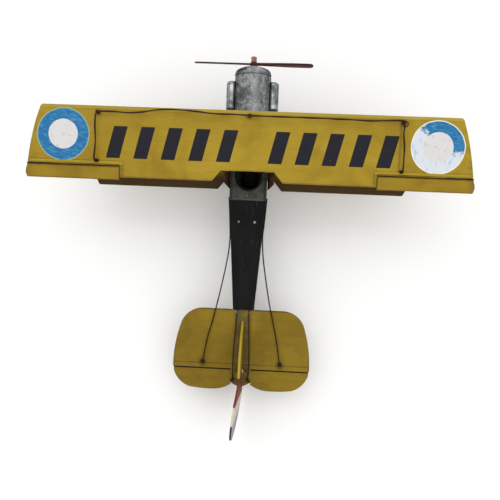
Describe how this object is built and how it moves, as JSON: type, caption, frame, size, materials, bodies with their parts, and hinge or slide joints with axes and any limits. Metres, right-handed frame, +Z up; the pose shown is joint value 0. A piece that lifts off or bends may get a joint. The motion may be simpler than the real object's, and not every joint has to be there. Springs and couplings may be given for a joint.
{
  "type": "propeller plane model",
  "caption": "Free-standing painted sheet-metal biplane model with turning propeller and wheels, hinged ailerons, elevators and rudder, wire bracing and a tail skid.",
  "frame": {"origin": "on the ground under the middle of the model's box, on its centreline, with the model standing on its wheels and skid", "axes": "+X to port, -Y forward along the ground, +Z up; the airframe leans back by 10.74 degrees"},
  "size_m": [0.406, 0.3642, 0.1174],
  "materials": {
    "wing_paint": "satin, antiqued ochre over sheet metal",
    "wing_underside_paint": "satin, antiqued ochre over sheet metal",
    "tail_paint": "satin, darker ochre with brown edges",
    "rudder_paint": "satin, three vertical bands: red-brown, cream, navy",
    "deck_paint": "satin olive grey, worn",
    "black_paint": "satin charcoal",
    "pewter": "mottled dark patina",
    "rust": "rust brown, matt",
    "dark_wire": "dark burnt wire",
    "strut_paint": "satin ochre",
    "prop_paint": "satin red-brown, dark edges",
    "boss_paint": "pinkish red, worn",
    "steel": "dull",
    "brass": "dull",
    "pale_rivet": "dull",
    "tyre": "matt black",
    "wheel_paint": "satin ochre",
    "seat_paint": "dark brown"
  },
  "bodies": {
    "airframe": {"axle_caps": "brass", "bracing_wires": "dark_wire", "cabane_struts": "strut_paint", "cable_guides": "steel", "cockpit_deck": "deck_paint", "deck_rivets": "pale_rivet", "engine_cowl": "pewter", "fin": "tail_paint", "firewall": "pewter", "front_cockpit_rim": "deck_paint", "front_seat": "seat_paint", "fuselage_shell": "black_paint", "hinge_wires": "dark_wire", "interplane_struts": "strut_paint", "left_cylinder_bank": "pewter", "left_exhaust_pipe": "rust", "left_lower_wing_skin": "wing_underside_paint", "left_lower_wing_underside": "wing_underside_paint", "left_undercarriage_legs": "strut_paint", "lower_wing_spars": "steel", "nose_plate": "pewter", "rear_cockpit_rim": "deck_paint", "rear_seat": "seat_paint", "right_cylinder_bank": "pewter", "right_exhaust_pipe": "rust", "right_lower_wing_skin": "wing_underside_paint", "right_lower_wing_underside": "wing_underside_paint", "right_undercarriage_legs": "strut_paint", "rudder_cables": "dark_wire", "shaft_bush": "brass", "spreader_bar": "steel", "stabilizer": "tail_paint", "stern_post": "steel", "tail_skid": "dark_wire", "tail_wire_posts": "dark_wire", "tail_wires": "dark_wire", "turtledeck": "black_paint", "upper_wing_skin": "wing_paint", "upper_wing_spars": "steel", "upper_wing_underside": "wing_underside_paint", "wheel_axle": "steel", "wing_posts": "dark_wire", "wing_top_wire": "dark_wire"},
    "propeller": {"propeller": "prop_paint", "propeller_boss": "boss_paint", "thrust_washer": "steel", "propeller_shaft": "steel", "shaft_collar": "steel"},
    "left_wheel": {"left_wheel_disc": "wheel_paint", "left_tyre": "tyre"},
    "right_wheel": {"right_wheel_disc": "wheel_paint", "right_tyre": "tyre"},
    "left_aileron": {"left_aileron": "wing_paint"},
    "right_aileron": {"right_aileron": "wing_paint"},
    "left_elevator": {"left_elevator": "tail_paint"},
    "right_elevator": {"right_elevator": "tail_paint"},
    "rudder": {"rudder": "rudder_paint", "rudder_horn": "steel"}
  },
  "joints": [
    {"name": "propeller_spin", "type": "hinge", "parent": "airframe", "child": "propeller", "pos_m": [0, -0.175, 0.0787], "axis": [0, -0.9825, 0.1863], "continuous": true},
    {"name": "left_wheel_spin", "type": "hinge", "parent": "airframe", "child": "left_wheel", "pos_m": [0.033, -0.12895, 0.0145], "axis": [1, 0, 0], "continuous": true},
    {"name": "right_wheel_spin", "type": "hinge", "parent": "airframe", "child": "right_wheel", "pos_m": [-0.033, -0.12895, 0.0145], "axis": [1, 0, 0], "continuous": true},
    {"name": "left_aileron_hinge", "type": "hinge", "parent": "airframe", "child": "left_aileron", "pos_m": [0.158, -0.06134, 0.1], "axis": [1, 0, 0], "range_deg": [-20, 20]},
    {"name": "right_aileron_hinge", "type": "hinge", "parent": "airframe", "child": "right_aileron", "pos_m": [-0.158, -0.06134, 0.1], "axis": [1, 0, 0], "range_deg": [-20, 20]},
    {"name": "left_elevator_hinge", "type": "hinge", "parent": "airframe", "child": "left_elevator", "pos_m": [0.035, 0.11811, 0.03188], "axis": [1, 0, 0], "range_deg": [-20, 20]},
    {"name": "right_elevator_hinge", "type": "hinge", "parent": "airframe", "child": "right_elevator", "pos_m": [-0.035, 0.11811, 0.03188], "axis": [1, 0, 0], "range_deg": [-20, 20]},
    {"name": "rudder_hinge", "type": "hinge", "parent": "airframe", "child": "rudder", "pos_m": [0, 0.12089, 0.04652], "axis": [0, 0.1863, 0.9825], "range_deg": [-25, 25]}
  ],
  "couplings": [
    {"joint": "right_aileron_hinge", "follows": "left_aileron_hinge", "ratio": -1},
    {"joint": "right_elevator_hinge", "follows": "left_elevator_hinge", "ratio": 1}
  ]
}
